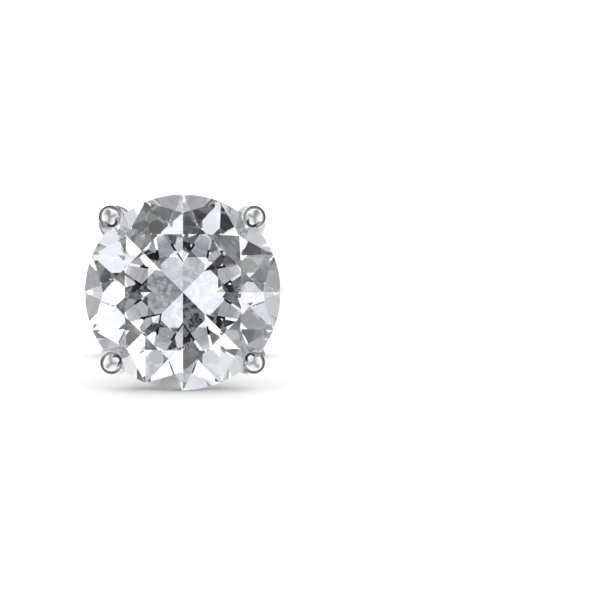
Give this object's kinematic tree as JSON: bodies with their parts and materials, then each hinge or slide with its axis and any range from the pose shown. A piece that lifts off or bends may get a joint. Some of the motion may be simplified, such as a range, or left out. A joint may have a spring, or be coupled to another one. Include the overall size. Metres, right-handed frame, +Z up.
{
  "type": "earring",
  "caption": "Solitaire stud earring: round brilliant-cut stone in a prong basket on a straight ear post, with a butterfly ear back, lying as it rests on a table.",
  "frame": {"origin": "centre of the bounding box's footprint, on the table that the stud lies on", "axes": "+Z up from the table, +Y from the stone towards the end of the ear post, +X to the right seen from the stone's side; the stone faces -Y and 5.5 degrees up"},
  "size_m": [0.0066, 0.015, 0.0065],
  "materials": {
    "stone": "colourless stone with polished facets",
    "white_metal": "polished white gold"
  },
  "bodies": {
    "root": {"stone": "stone", "setting": "white_metal", "ear_back": "white_metal"}
  },
  "joints": []
}
